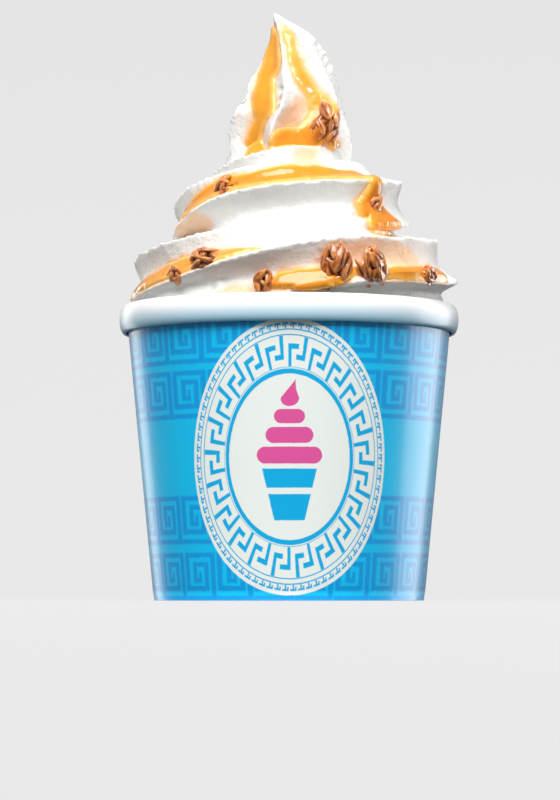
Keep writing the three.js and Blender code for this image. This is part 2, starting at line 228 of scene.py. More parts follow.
# The camera and its picture
PICTURE_HEIGHT = 800
FOCAL_PIXELS = 3200
HORIZON_PIXEL = 594
CAMERA_PLACE = (-2.12, -751.7, 1.5)


def linear(red, green, blue):
    """A colour given in 0 to 255 display values as Blender's linear values."""
    shares = [value / 255 for value in (red, green, blue)]
    return tuple(s / 12.92 if s <= 0.04045 else ((s + 0.055) / 1.055) ** 2.4 for s in shares)


# Smooth curves through rows, and the points of the rope and the peak

def smooth_row(rows, at):
    """The row at a place between the given rows, on one smooth curve."""
    upper = 1
    while upper < len(rows) - 1 and at > rows[upper][0]:
        upper += 1
    lower = upper - 1
    before = lower - 1 if lower > 0 else upper
    after = upper + 1 if upper < len(rows) - 1 else lower
    span = rows[upper][0] - rows[lower][0]
    share = (at - rows[lower][0]) / span
    pull_back = span / 2 / (rows[lower][0] - rows[before][0])
    pull_on = span / 2 / (rows[after][0] - rows[upper][0])
    square, cube = share ** 2, share ** 3
    weights = (
        (before, -pull_back * cube + 2 * pull_back * square - pull_back * share),
        (lower, (1 + pull_back) * cube + (-1.5 - 2 * pull_back) * square + (-0.5 + pull_back) * share + 1),
        (upper, (-1 - pull_on) * cube + (1.5 + pull_on) * square + 0.5 * share),
        (after, pull_on * cube - pull_on * square),
    )
    return [sum(rows[row][column] * weight for row, weight in weights) for column in range(1, len(rows[0]))]


def wall_radius(height):
    """Outer radius of the cup's wall at a height."""
    return FOOT_RADIUS + WALL_TAPER * height


def inner_radius(height):
    """Radius of the room inside the cup's wall at a height, a little clear of it."""
    return wall_radius(height) - BOARD - CLEARANCE


def star_section(groove, rounding):
    """Angle and reach of each point of the star, tip by tip."""
    section = []
    spread = 2 * math.pi / STAR_TIPS
    for tip in range(STAR_TIPS):
        start = Vector((math.cos(tip * spread), math.sin(tip * spread)))
        end = Vector((math.cos((tip + 1) * spread), math.sin((tip + 1) * spread)))
        middle = (tip + 0.5) * spread
        for step in range(POINTS_PER_TIP):
            share = step / POINTS_PER_TIP
            depth = groove * (1 - abs(2 * share - 1) ** rounding)
            point = start.lerp(end, share) - Vector((math.cos(middle), math.sin(middle))) * depth
            section.append((math.atan2(point.y, point.x), point.length))
    return section


def rope_at(turn):
    """Radius, height, star reach, twist and bearing of the rope at a turn."""
    radius, height, star, twist = smooth_row(COURSE, turn)
    front = max(0, math.cos(2 * math.pi * (turn - FRONT_TURN))) ** 2
    bearing = math.pi * (1 + 2 * turn)
    return radius, height + FRONT_LIFT * front, star, math.radians(twist + FRONT_TWIST * front), bearing


def rope_ring(turn, section):
    """The rope's outline at a turn, as points in millimetres."""
    radius, height, star, twist, bearing = rope_at(turn)
    ring = []
    for angle, reach in section:
        outward = reach * star * math.cos(angle + twist)
        if outward < 0:
            outward *= min(1, (radius - AXIS_GAP) / star)
        x = ROPE_OFFSET + (radius + outward) * math.cos(bearing)
        y = (radius + outward) * math.sin(bearing)
        ring.append(Vector((x, y, height + reach * star * math.sin(angle + twist) + ROPE_TILT * x)))
    return ring


def peak_ring(height, section):
    """The peak's outline at a height, as points in millimetres."""
    radius, lean, twist = smooth_row(PEAK, height)
    turned = math.radians(PEAK_FRONT + twist)
    return [
        Vector((
            lean + radius * reach * math.cos(angle + turned),
            radius * reach * math.sin(angle + turned),
            height,
        ))
        for angle, reach in section
    ]


# Mesh helpers

def lofted(rings):
    """A closed skin over rings of points given in millimetres."""
    skin = bmesh.new()
    bmesh.ops.create_circle(skin, cap_ends=True, segments=len(rings[0]), radius=1)
    skin.faces.ensure_lookup_table()
    cap = skin.faces[0]
    for vert, point in zip(cap.verts, rings[0]):
        vert.co = point * MM
    for ring in rings[1:]:
        made = bmesh.ops.extrude_face_region(skin, geom=[cap])
        cap = next(item for item in made["geom"] if isinstance(item, bmesh.types.BMFace))
        for vert, point in zip(cap.verts, ring):
            vert.co = point * MM
    bmesh.ops.recalc_face_normals(skin, faces=skin.faces)
    return skin


def spun(profile, steps, closed=False):
    """A skin turned about the cup's axis from a profile of radius and height in millimetres."""
    skin = bmesh.new()
    verts = [skin.verts.new((radius * MM, 0, height * MM)) for radius, height in profile]
    pairs = list(zip(verts, verts[1:]))
    if closed:
        pairs.append((verts[-1], verts[0]))
    edges = [skin.edges.new(pair) for pair in pairs]
    bmesh.ops.spin(skin, geom=verts + edges, axis=(0, 0, 1), angle=2 * math.pi, steps=steps, use_merge=True)
    bmesh.ops.remove_doubles(skin, verts=skin.verts, dist=1e-7)
    bmesh.ops.recalc_face_normals(skin, faces=skin.faces)
    return skin


def rounded(points, radius, steps=4):
    """A profile with its corners turned into arcs."""
    shape = []
    for place, corner in enumerate(points):
        before = Vector(points[place - 1])
        after = Vector(points[(place + 1) % len(points)])
        corner = Vector(corner)
        back, onward = before - corner, after - corner
        reach = min(radius, back.length / 2.5, onward.length / 2.5)
        start, end = corner + back.normalized() * reach, corner + onward.normalized() * reach
        for step in range(steps + 1):
            share = step / steps
            first, second = start.lerp(corner, share), corner.lerp(end, share)
            shape.append(tuple(first.lerp(second, share)))
    return shape


def mesh_of(name, skin):
    """A mesh with a bmesh's form. The bmesh is freed."""
    data = bpy.data.meshes.new(name)
    skin.to_mesh(data)
    skin.free()
    return data


def added(name, data):
    """A new object in the scene."""
    item = bpy.data.objects.new(name, data)
    bpy.context.scene.collection.objects.link(item)
    return item


def surfaced(name, skin, material):
    """Turns a bmesh into a smooth object with its material."""
    for face in skin.faces:
        face.smooth = True
    data = mesh_of(name, skin)
    data.materials.append(material)
    return added(name, data)


def eased(skin, verts, passes=1, factor=0.5):
    """Moves vertices of a skin towards their neighbours."""
    axes = dict.fromkeys(("use_axis_x", "use_axis_y", "use_axis_z"), True)
    for _ in range(passes):
        bmesh.ops.smooth_vert(skin, verts=verts, factor=factor, **axes)


def remeshed(skin, voxel):
    """The same form as one even skin of small squares."""
    data = mesh_of("draft", skin)
    draft = added("draft", data)
    modifier = draft.modifiers.new("Remesh", "REMESH")
    modifier.mode = "VOXEL"
    modifier.voxel_size = voxel * MM
    even = bmesh.new()
    even.from_object(draft, bpy.context.evaluated_depsgraph_get())
    bpy.data.objects.remove(draft)
    bpy.data.meshes.remove(data)
    return even


def joined(skins):
    """Several skins in one bmesh."""
    whole = bmesh.new()
    for skin in skins:
        data = mesh_of("draft", skin)
        whole.from_mesh(data)
        bpy.data.meshes.remove(data)
    return whole


def finished(name, skin, material, nodes=()):
    """Turns a bmesh into a piece that rides on the cup's body and stands for the given nodes."""
    piece = surfaced(name, skin, material)
    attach(piece, BODY)
    if nodes:
        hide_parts(*nodes)
    return piece


# Node materials

def sum_node(operation, swapped=False):
    """A method that adds a Math node for an operation on a signal and another value."""
    def method(self, other):
        return self.maths(operation, *((other, self) if swapped else (self, other)))

    return method


class Signal:
    """One output of a node. Arithmetic on it adds Math nodes, so shader maths reads as Python."""

    def __init__(self, finish, socket):
        self.finish = finish
        self.socket = socket

    def maths(self, operation, *values):
        return self.finish.node("ShaderNodeMath", {"operation": operation}, dict(enumerate(values)))

    __add__ = sum_node("ADD")
    __radd__ = sum_node("ADD", True)
    __sub__ = sum_node("SUBTRACT")
    __rsub__ = sum_node("SUBTRACT", True)
    __mul__ = sum_node("MULTIPLY")
    __truediv__ = sum_node("DIVIDE")
    __pow__ = sum_node("POWER")
    smaller = sum_node("MINIMUM")
    larger = sum_node("MAXIMUM")

    def __neg__(self):
        return self * -1.0

    def part(self):
        """What is left after the whole number."""
        return self.maths("FRACT", self)

    def size(self):
        return self.maths("ABSOLUTE", self)

    def root(self):
        return self.maths("SQRT", self)

    def ramp(self, low, high):
        """0 below low and 1 above high, straight between."""
        sockets = {0: self, 1: low, 2: high, 3: 0.0, 4: 1.0}
        return self.finish.node("ShaderNodeMapRange", {"clamp": True}, sockets)


class Finish:
    """A node material while it is being made."""

    def __init__(self, name, **constants):
        self.material = bpy.data.materials.new(name)
        self.material.use_nodes = True
        self.tree = self.material.node_tree
        self.tree.nodes.clear()
        self.shader = self.tree.nodes.new("ShaderNodeBsdfPrincipled")
        output = self.tree.nodes.new("ShaderNodeOutputMaterial")
        self.tree.links.new(self.shader.outputs[0], output.inputs[0])
        for name, value in constants.items():
            self.shader.inputs[name.replace("_", " ")].default_value = value

    def node(self, kind, settings, sockets, output=0):
        """Adds any node: its settings, then the values or links of its sockets."""
        made = self.tree.nodes.new(kind)
        for name, value in settings.items():
            if name == "stops":
                ramp = made.color_ramp
                while len(ramp.elements) < len(value):
                    ramp.elements.new(0.5)
                for stop, (place, colour) in zip(ramp.elements, value):
                    stop.position = place
                    stop.color = (*colour, 1)
            else:
                setattr(made, name, value)
        for key, value in sockets.items():
            self.feed(made.inputs[key], value)
        return Signal(self, made.outputs[output])

    def feed(self, socket, value):
        """Links a signal to a socket, or sets the socket to a value."""
        if isinstance(value, Signal):
            self.tree.links.new(value.socket, socket)
        elif socket.type == "RGBA" and len(value) == 3:
            socket.default_value = (*value, 1)
        else:
            socket.default_value = value

    def set(self, name, value):
        self.feed(self.shader.inputs[name], value)

    def place(self):
        """The point in the piece's own coordinates, in metres."""
        return self.node("ShaderNodeTexCoord", {}, {}, "Object")

    def axes(self):
        """x, y and z of the point in millimetres."""
        split = self.node("ShaderNodeSeparateXYZ", {}, {0: self.place()}).socket.node
        return [Signal(self, split.outputs[axis]) * (1 / MM) for axis in range(3)]

    def grain(self, scale, detail=4.0, roughness=0.5, stretch=(1, 1, 1)):
        """Noise from 0 to 1, with its scale in repeats per metre."""
        spot = self.node("ShaderNodeMapping", {}, {"Vector": self.place(), "Scale": stretch})
        sockets = {"Vector": spot, "Scale": scale, "Detail": detail, "Roughness": roughness}
        return self.node("ShaderNodeTexNoise", {}, sockets)

    def tint(self, share, low, high):
        """Blends two colours."""
        return self.node("ShaderNodeMix", {"data_type": "RGBA"}, {0: share, 6: low, 7: high}, 2)

    def stored(self, name):
        """A number kept at each corner of the mesh."""
        return self.node("ShaderNodeAttribute", {"attribute_name": name}, {}, "Fac")

    def relief(self, height, strength, distance):
        """Fine relief in the surface."""
        sockets = {"Strength": strength, "Distance": distance, "Height": height}
        self.set("Normal", self.node("ShaderNodeBump", {}, sockets))


# The print on the cup

BAND_MIDDLE = 32.2
MEDALLION_HALF_HEIGHT = 31.0
MEDALLION_HALF_WIDTH = 23.2
KEY_UNITS = 22
SMALL_KEY_UNITS = 78
MOTIFS_ROUND = 22
MOTIF_ROWS = [(53.5, 64.5), (41.2, 52.0), (12.8, 23.7), (0.0, 10.8)]
INK_EDGE = 0.16
DROP_BOTTOM = 11.3
DROP_HEIGHT = 6.2
DROP_BELLY = 0.3
DROP_HALF_WIDTH = 2.1
DROP_LEAN = 1.5
DROP_SHARPNESS = 1.3
# The emblem's rounded bars: height over the band's middle, half width, half height
BARS = [(0.4, 7.4, 1.9), (4.9, 5.4, 1.8), (9.1, 3.5, 1.6)]
DISH_TOP = -2.6
DISH_BOTTOM = -14.2
DISH_HALF_WIDTH = 6.2
DISH_TAPER = 0.24
DISH_GAP = -7.6
DISH_GAP_HALF = 0.7
SMALL_KEY_BAND = (0.925, 0.985)
KEY_BAND = (0.65, 0.876)
RING_LINES = [(0.915, 0.925), (0.876, 0.885), (0.645, 0.65), (0.6, 0.637)]
MOTIF_RADIUS = 34.5
MOTIF_HEIGHT = 10.9
MOTIF_PHASE = 0.88
WOBBLE = 0.16
# Painted shade on the rim's lower side: pale blue for shade and for blue light bounced up from the print,
# from this height down
RIM_SHADE_TOP = CUP_HEIGHT - 2.3
RIM_SHADE_DEPTH = 4.2

# One square spiral in its cell: left, right, bottom, top as shares of the cell
SPIRAL_STROKES = [
    (0.0, 1.0, 0.0, 0.1), (0.84, 0.98, 0.0, 1.0), (0.03, 0.98, 0.9, 1.0), (0.03, 0.17, 0.2, 1.0),
    (0.03, 0.78, 0.2, 0.31), (0.65, 0.78, 0.2, 0.81), (0.29, 0.78, 0.71, 0.81), (0.29, 0.42, 0.37, 0.81),
    (0.29, 0.56, 0.37, 0.47), (0.47, 0.56, 0.37, 0.6),
]
# One unit of the key border: along the ring, and from its inner to its outer line
KEY_STROKES = [
    (0.69, 0.84, 0.23, 1.05), (0.41, 0.84, 0.23, 0.4), (0.05, 0.2, -0.05, 0.74), (0.05, 0.51, 0.57, 0.74),
]
SMALL_KEY_STROKES = [(0.4, 0.6, -0.1, 0.6), (0.1, 0.9, 0.5, 0.75), (0.1, 0.28, 0.25, 0.75)]


def strokes(across, up, boxes, wide, high):
    """How far inside the nearest box a point lies, in millimetres; across and up are shares of a cell."""
    found = None
    for left, right, bottom, top in boxes:
        sideways = (across - left).smaller(right - across) * wide
        upward = (up - bottom).smaller(top - up) * high
        depth = sideways.smaller(upward)
        found = depth if found is None else found.larger(depth)
    return found


def inked(depth, edge=INK_EDGE):
    """1 inside an outline and 0 outside, with a narrow soft edge."""
    return depth.ramp(-edge / 2, edge / 2)


def print_finish(settings):
    """Coated board with the key-bordered medallion over square spirals; the rim and inside are white, with
    painted blue shade on the rim's lower side.
    """
    finish = Finish(
        "printed_board", IOR=1.47, Specular_IOR_Level=0.3, Coat_Weight=0.25, Coat_Roughness=0.16,
    )
    x, y, z = finish.axes()
    wobble = finish.grain(900, 3) - 0.5
    angle = x.maths("ARCTAN2", x, -y)
    radius = (x * x + y * y).root()
    wall = z * WALL_TAPER + FOOT_RADIUS
    along = angle * wall + wobble * WOBBLE
    height = z + wobble * WOBBLE

    # Square spirals in rows round the cup
    cell = (angle * (MOTIFS_ROUND / (2 * math.pi)) + (MOTIFS_ROUND / 2 + MOTIF_PHASE)).part()
    cell_width = 2 * math.pi * MOTIF_RADIUS / MOTIFS_ROUND
    row_share = None
    row_inside = None
    for low, high in MOTIF_ROWS:
        share = (height - low) / (high - low)
        inside = (height - (low - 0.2)).smaller((high + 0.2) - height)
        on = inside.ramp(0, 0.1)
        row_share = share * on if row_share is None else row_share + share * on
        row_inside = on if row_inside is None else row_inside.larger(on)
    spiral = strokes(cell, row_share, SPIRAL_STROKES, cell_width, MOTIF_HEIGHT) + wobble * 0.5
    spiral = inked(spiral, 0.4) * row_inside
    blue = finish.tint(finish.grain(60, 2), settings.blue, settings.blue_shade)
    ground = finish.tint(spiral, blue, settings.spiral_blue)

    # Rings of the medallion, by share of its oval
    across = along / MEDALLION_HALF_WIDTH
    upward = (height - BAND_MIDDLE) / MEDALLION_HALF_HEIGHT
    share = (across * across + upward * upward).root()
    turn = across.maths("ARCTAN2", across, upward) / (2 * math.pi)
    mean_radius = (MEDALLION_HALF_HEIGHT + MEDALLION_HALF_WIDTH) / 2

    def ring(inner, outer):
        return inked((share - inner).smaller(outer - share) * mean_radius)

    def border(units, inner, outer, boxes, phase):
        cell_share = (turn * units + (units + phase)).part()
        level = (share - inner) / (outer - inner)
        unit_width = 2 * math.pi * mean_radius * (inner + outer) / 2 / units
        depth = strokes(cell_share, level, boxes, unit_width, (outer - inner) * mean_radius)
        return inked(depth) * ring(inner, outer)

    paper = settings.off_white
    colour = finish.tint(inked((1.0 - share) * mean_radius), ground, paper)
    lines = border(SMALL_KEY_UNITS, *SMALL_KEY_BAND, SMALL_KEY_STROKES, 0.0)
    lines = lines.larger(border(KEY_UNITS, *KEY_BAND, KEY_STROKES, 0.1))
    for inner, outer in RING_LINES:
        lines = lines.larger(ring(inner, outer))
    colour = finish.tint(lines, colour, settings.ring_blue)

    # A small emblem of piped yogurt: three rounded layers and a drop over a filled cup
    up = height - BAND_MIDDLE

    def bar(level, half_width, half_height):
        reach = (along.size() - (half_width - half_height)).larger(0.0)
        return half_height - (reach * reach + (up - level) * (up - level)).root()

    rise = (up - DROP_BOTTOM) / DROP_HEIGHT
    below = (DROP_BELLY - rise).larger(0.0) / DROP_BELLY
    round_end = (1.0 - below * below).larger(0.0).root()
    pointed_end = ((1.0 - rise).larger(0.0) / (1 - DROP_BELLY)) ** DROP_SHARPNESS
    drop = round_end.smaller(pointed_end) * DROP_HALF_WIDTH - (along - rise * rise * DROP_LEAN).size()
    drop = drop.smaller(up - DROP_BOTTOM).smaller(DROP_BOTTOM + DROP_HEIGHT - INK_EDGE - up)
    pink = drop
    for row in BARS:
        pink = pink.larger(bar(*row))
    side = (DISH_HALF_WIDTH + (up - DISH_TOP) * DISH_TAPER) - along.size()
    dish = side.smaller(up - DISH_BOTTOM).smaller(DISH_TOP - up)
    gap = (up - DISH_GAP).size() - DISH_GAP_HALF
    colour = finish.tint(inked(pink), colour, settings.pink)
    colour = finish.tint(inked(dish.smaller(gap)), colour, settings.ring_blue)

    # The print ends under the rim and at the foot, and stays off the inside; the rim's lower side gets
    # painted blue shade
    outside = (radius - (wall - 0.3)).ramp(0, 0.05) * (PRINT_TOP - z).ramp(0, 0.1)
    fibre = finish.grain(2600, 5, 0.6)
    # Painted shade: the rim's outer side turns pale blue downwards, for shade and light bounced off the print
    rim_shade = ((RIM_SHADE_TOP - z) / RIM_SHADE_DEPTH).ramp(0, 1) * (radius - wall).ramp(-0.2, 0.2)
    board = finish.tint(rim_shade, settings.board_white, settings.rim_shade_blue)
    colour = finish.tint(outside, board, colour)
    finish.set("Base Color", colour)
    finish.set("Roughness", fibre.ramp(0.2, 0.9) * 0.12 + 0.3)
    finish.relief(fibre, 0.12, 0.00006)
    return finish.material


def plain_board_finish(settings):
    """Coated white board, as on the cup's bottom."""
    finish = Finish("plain_board", IOR=1.47, Coat_Weight=0.2, Coat_Roughness=0.2)
    fibre = finish.grain(2600, 5, 0.6)
    finish.set("Base Color", finish.tint(finish.grain(90, 3), settings.board_white, (0.72, 0.76, 0.78)))
    finish.set("Roughness", fibre * 0.15 + 0.38)
    finish.relief(fibre, 0.15, 0.00006)
    return finish.material


# Food finishes

def yogurt_finish(settings):
    """Soft frozen yogurt: matt, damp, faintly grainy, stained peach beside the honey."""
    finish = Finish(
        "frozen_yogurt", IOR=1.4, Subsurface_Weight=0.12, Subsurface_Radius=(1.0, 0.9, 0.8),
        Subsurface_Scale=0.0012, Coat_Weight=0.08, Coat_Roughness=0.3,
    )
    cloud = finish.grain(160, 3)
    white = finish.tint(cloud, settings.white, settings.cream)
    stain = finish.stored("stain")
    patchy = (stain * (finish.grain(260, 3) * 0.9 + 0.55)).smaller(1.0)
    finish.set("Base Color", finish.tint(patchy, white, settings.stain))
    fine = finish.grain(1100, 6, 0.65)
    finish.set("Roughness", fine * 0.2 + 0.42)
    ripple = finish.grain(420, 4, 0.55)
    finish.relief(ripple + fine, 0.65, 0.0004)
    return finish.material


def honey_finish(settings):
    """Clear honey: glossy, pale where it is thin and amber where it is deep."""
    finish = Finish("honey", IOR=1.47, Coat_Weight=0.15, Coat_Roughness=0.04)
    depth = finish.stored("honey_depth")
    cloudy = depth + (finish.grain(240, 3) - 0.5) * 0.5
    stops = [(0.0, settings.thin), (0.45, settings.gold), (1.0, settings.amber)]
    ramp = finish.node("ShaderNodeValToRGB", {"stops": stops}, {0: cloudy})
    finish.set("Base Color", ramp)
    finish.set("Roughness", finish.grain(300, 2) * 0.1 + 0.1)
    finish.relief(finish.grain(330, 3), 0.35, 0.0005)
    return finish.material


def oat_finish(settings):
    """Baked oat flakes in a glaze: golden on the ridges, with painted shade deepening to near black in the
    creases.
    """
    finish = Finish("baked_oats", IOR=1.48, Coat_Weight=0.9, Coat_Roughness=0.08)
    patch = finish.grain(500, 4, 0.6)
    streak = finish.grain(900, 5, 0.65, (1, 1, 0.35))
    # Painted shade: the colour runs towards near black as the surface sinks, mixed with random patches and
    # streaks
    recess = finish.stored("recess") + (patch - 0.5) * 0.8 + (streak - 0.5) * 0.5
    stops = [(0.26, settings.golden), (0.46, settings.toasted), (0.66, settings.dark_patch_and_crease_shade)]
    finish.set("Base Color", finish.node("ShaderNodeValToRGB", {"stops": stops}, {0: recess}))
    finish.set("Roughness", patch * 0.2 + 0.18)
    finish.relief(streak + patch * 0.4, 0.5, 0.0003)
    return finish.material


def floor_finish(settings):
    """A plain pale studio floor."""
    finish = Finish("studio_floor", Specular_IOR_Level=0.1)
    finish.set("Base Color", settings.floor)
    finish.set("Roughness", 0.9)
    finish.set("Emission Color", (1, 1, 1))
    finish.set("Emission Strength", settings.floor_glow)
    return finish.material


# Settings that a user would change

def colour_setting(name, description, *display):
    """A colour with its default in 0 to 255 display values."""
    default = linear(*display)
    return FloatVectorProperty(name=name, description=description, subtype="COLOR", default=default)


def length_setting(name, description, default):
    """A length with its default in millimetres."""
    return FloatProperty(
        name=name, description=description, subtype="DISTANCE", unit="LENGTH", default=default * MM)


class CupSettings(bpy.types.PropertyGroup):
    """Sizes and colours of the paper cup."""

    steps: IntProperty(name="Round steps", description="Steps round the cup", default=192, min=24)
    blue: colour_setting("Blue", "Ground colour of the print", 5, 202, 250)
    blue_shade: colour_setting("Blue shade", "Second tone of the ground", 8, 192, 245)
    spiral_blue: colour_setting("Spiral blue", "Colour of the spirals", 10, 158, 230)
    ring_blue: colour_setting("Ring blue", "Colour of the medallion's lines", 4, 176, 232)
    off_white: colour_setting("Off-white", "Ground of the medallion", 240, 246, 241)
    pink: colour_setting("Pink", "Colour of the emblem", 226, 88, 160)
    board_white: colour_setting("Board white", "Bare board", 249, 251, 252)
    # Painted shade: the blue for shade and bounce light on the rim's lower side
    rim_shade_blue: colour_setting("Rim blue", "Tone of the rim's lower side", 140, 206, 235)


class SwirlSettings(bpy.types.PropertyGroup):
    """Sizes and colours of the frozen yogurt."""

    grain: length_setting("Grain", "Edge length of the yogurt's mesh", 0.56)
    roughness: length_setting("Unevenness", "How far the surface strays", 0.2)
    white: colour_setting("White", "Main colour", 243, 242, 240)
    cream: colour_setting("Cream", "Second tone", 241, 239, 235)
    stain: colour_setting("Stain", "Beside the honey", 253, 196, 138)


class HoneySettings(bpy.types.PropertyGroup):
    """Colours of the honey."""

    thin: colour_setting("Thin", "Thin honey", 249, 193, 110)
    gold: colour_setting("Gold", "Honey of middle depth", 240, 162, 46)
    amber: colour_setting("Amber", "Deep honey", 229, 134, 30)


class OatSettings(bpy.types.PropertyGroup):
    """Sizes and colours of the baked oats."""

    grain: length_setting("Grain", "Edge length of a cluster's mesh", 0.17)
    golden: colour_setting("Golden", "Light flakes", 222, 146, 74)
    toasted: colour_setting("Toasted", "Toasted flakes", 176, 88, 30)
    # Painted shade: the near black of the creases, also reached by random patches
    dark_patch_and_crease_shade: colour_setting("Dark", "Creases", 40, 15, 5)


class StageSettings(bpy.types.PropertyGroup):
    """Light and floor."""

    floor: FloatVectorProperty(
        name="Floor", description="Colour of the floor", subtype="COLOR", default=(0.06, 0.06, 0.06))
    floor_glow: FloatProperty(name="Floor glow", description="Even light of the floor", default=0.715)
    key_power: FloatProperty(name="Key", description="Strength of the top light", default=3.4)
    fill_power: FloatProperty(name="Fill", description="Power of the right light in watts", default=2.5)
    spark_power: FloatProperty(name="Spark", description="Power of the front light in watts", default=1.0)
    sky: FloatProperty(name="Sky", description="Strength of the light from above", default=0.46)
    sky_below: FloatProperty(name="Sky below", description="Strength of the light from below", default=0.06)


# The paper cup

def rim_oval(inset, start, end, steps):
    """Points along the rolled rim's oval."""
    points = []
    for step in range(steps + 1):
        angle = math.radians(start + (end - start) * step / steps)
        points.append((
            RIM_MIDDLE[0] + (RIM_WIDTH / 2 - inset) * math.cos(angle),
            RIM_MIDDLE[1] + (RIM_HEIGHT / 2 - inset) * math.sin(angle),
        ))
    return points


def wall_skin(steps):
    """The side of the cup, with the rolled rim and the folded foot, and the lap down the back."""
    fold_outer = BOARD + 2 * CLEARANCE + FLANGE_THICKNESS
    fold_inner = fold_outer + BOARD
    foot = rounded([
        (wall_radius(BOARD) - BOARD, BOARD),
        (wall_radius(BOARD) - fold_outer, BOARD),
        (FOOT_RADIUS - fold_outer, FOLD_HEIGHT),
        (FOOT_RADIUS - fold_inner, FOLD_HEIGHT),
        (FOOT_RADIUS - fold_inner, 0),
        (FOOT_RADIUS, 0),
    ], FOLD_ROUNDING)
    rim_base = RIM_MIDDLE[1] - RIM_HEIGHT / 2
    levels = [rim_base * share / 24 for share in range(1, 25)]
    outside = [(wall_radius(level), level) for level in levels]
    curl_inside = rim_oval(BOARD, CURL_START, CURL_END, 24)
    curl_outside = rim_oval(0, CURL_END, CURL_START, 40)
    inner_levels = [RIM_MIDDLE[1] * share / 12 for share in range(11, 0, -1)]
    inside = [(wall_radius(level) - BOARD, level) for level in inner_levels if level > 2 * BOARD]
    skin = spun(foot + outside + curl_inside + curl_outside + inside, steps, closed=True)
    for vert in skin.verts:
        radius = math.hypot(vert.co.x, vert.co.y) / MM
        bearing = math.degrees(math.atan2(vert.co.x, vert.co.y))
        height = vert.co.z / MM
        if height < rim_base and radius > wall_radius(height) - BOARD / 2:
            edge = (bearing + LAP_HALF_ANGLE) * LAP_EDGE_SLOPE
            fade = (LAP_HALF_ANGLE * LAP_FADE - bearing) / LAP_HALF_ANGLE
            rise = max(0, min(1, edge)) * max(0, min(1, fade))
            grown = (radius + LAP_RISE * rise) / radius
            vert.co.x *= grown
            vert.co.y *= grown
    return skin


def base_skin(steps):
    """The cup's bottom disc with its turned-down flange."""
    flange_outer = BOARD + CLEARANCE
    flange_inner = flange_outer + FLANGE_THICKNESS
    top = DISC_UNDERSIDE + BOARD
    rim = rounded([
        (FOOT_RADIUS - flange_inner - 3, DISC_UNDERSIDE),
        (FOOT_RADIUS - flange_inner, DISC_UNDERSIDE),
        (FOOT_RADIUS - flange_inner, FLANGE_BOTTOM),
        (wall_radius(FLANGE_BOTTOM) - flange_outer, FLANGE_BOTTOM),
        (wall_radius(top) - flange_outer, top),
        (wall_radius(top) - flange_outer - 3, top),
    ], DISC_ROUNDING)
    return spun([(0, DISC_UNDERSIDE)] + rim[3:-3] + [(0, top)], steps)


# The frozen yogurt

def swirl_parts():
    """Skins of the rope, the peak and the fill, and the samples that find a place on rope and peak."""
    rope_section = star_section(ROPE_GROOVE, ROPE_ROUNDING)
    peak_section = star_section(PEAK_GROOVE, PEAK_ROUNDING)
    first, last = COURSE[0][0], COURSE[-1][0]
    count = round((last - first) * RINGS_PER_TURN)
    turns = [first + (last - first) * step / count for step in range(count + 1)]
    rope = [rope_ring(turn, rope_section) for turn in turns]
    bottom, top = PEAK[0][0], PEAK[-1][0]
    heights = [bottom + (top - bottom) * step / PEAK_RINGS for step in range(PEAK_RINGS + 1)]
    peak = [peak_ring(height, peak_section) for height in heights]
    samples = []
    for kind, places, rings in ((ROPE, turns, rope), (PEAK_KIND, heights, peak)):
        for place, ring in zip(places, rings):
            for index, point in enumerate(ring):
                samples.append((point, kind, place, 360 * index / len(ring)))
    sides = [(inner_radius(height), height) for height in (DRAFT_BOTTOM, RIM_MIDDLE[1])]
    fill = spun([(0, DRAFT_BOTTOM), *sides, *HEAP, (0, HEAP_TOP)], 96)
    return [lofted(rope), lofted(peak), fill], samples


def keep_off_rim(skin):
    """Moves what would run into the cup's rim back to its inner side."""
    grown_width = RIM_WIDTH / 2 + CLEARANCE
    grown_height = RIM_HEIGHT / 2 + CLEARANCE
    for vert in skin.verts:
        radius, height = math.hypot(vert.co.x, vert.co.y) / MM, vert.co.z / MM
        if height < RIM_MIDDLE[1]:
            limit = inner_radius(height)
        elif height < RIM_MIDDLE[1] + grown_height:
            share = (height - RIM_MIDDLE[1]) / grown_height
            limit = RIM_MIDDLE[0] - grown_width * math.sqrt(1 - share ** 2)
        else:
            limit = RIM_RADIUS - 0.1
        if radius > limit:
            vert.co.x *= limit / radius
            vert.co.y *= limit / radius


def close_below(skin):
    """Cuts the skin level inside the cup and carries it down to the bottom disc."""
    everything = list(skin.verts) + list(skin.edges) + list(skin.faces)
    bmesh.ops.bisect_plane(
        skin, geom=everything, plane_co=(0, 0, SWIRL_CUT * MM), plane_no=(0, 0, 1), clear_inner=True)
    loose = [vert for vert in skin.verts if not vert.link_faces]
    bmesh.ops.delete(skin, geom=loose, context="VERTS")
    edge = [item for item in skin.edges if item.is_boundary]
    made = bmesh.ops.extrude_edge_only(skin, edges=edge)
    lower = [item for item in made["geom"] if isinstance(item, bmesh.types.BMVert)]
    shrink = inner_radius(FILL_BOTTOM) / inner_radius(SWIRL_CUT)
    for vert in lower:
        vert.co = (vert.co.x * shrink, vert.co.y * shrink, FILL_BOTTOM * MM)
    bmesh.ops.holes_fill(skin, edges=[item for item in skin.edges if item.is_boundary], sides=0)
    bmesh.ops.recalc_face_normals(skin, faces=skin.faces)


def find_places(skin, samples):
    """Kind, turn or height, and section angle at each vertex of the skin."""
    tree = KDTree(len(samples))
    for index, sample in enumerate(samples):
        tree.insert(sample[0] * MM, index)
    tree.balance()
    found = [samples[tree.find(vert.co)[1]] for vert in skin.verts]
    kinds = np.array([item[1] for item in found])
    along = np.array([item[2] for item in found])
    angle = np.array([item[3] for item in found])
    return kinds, along, angle


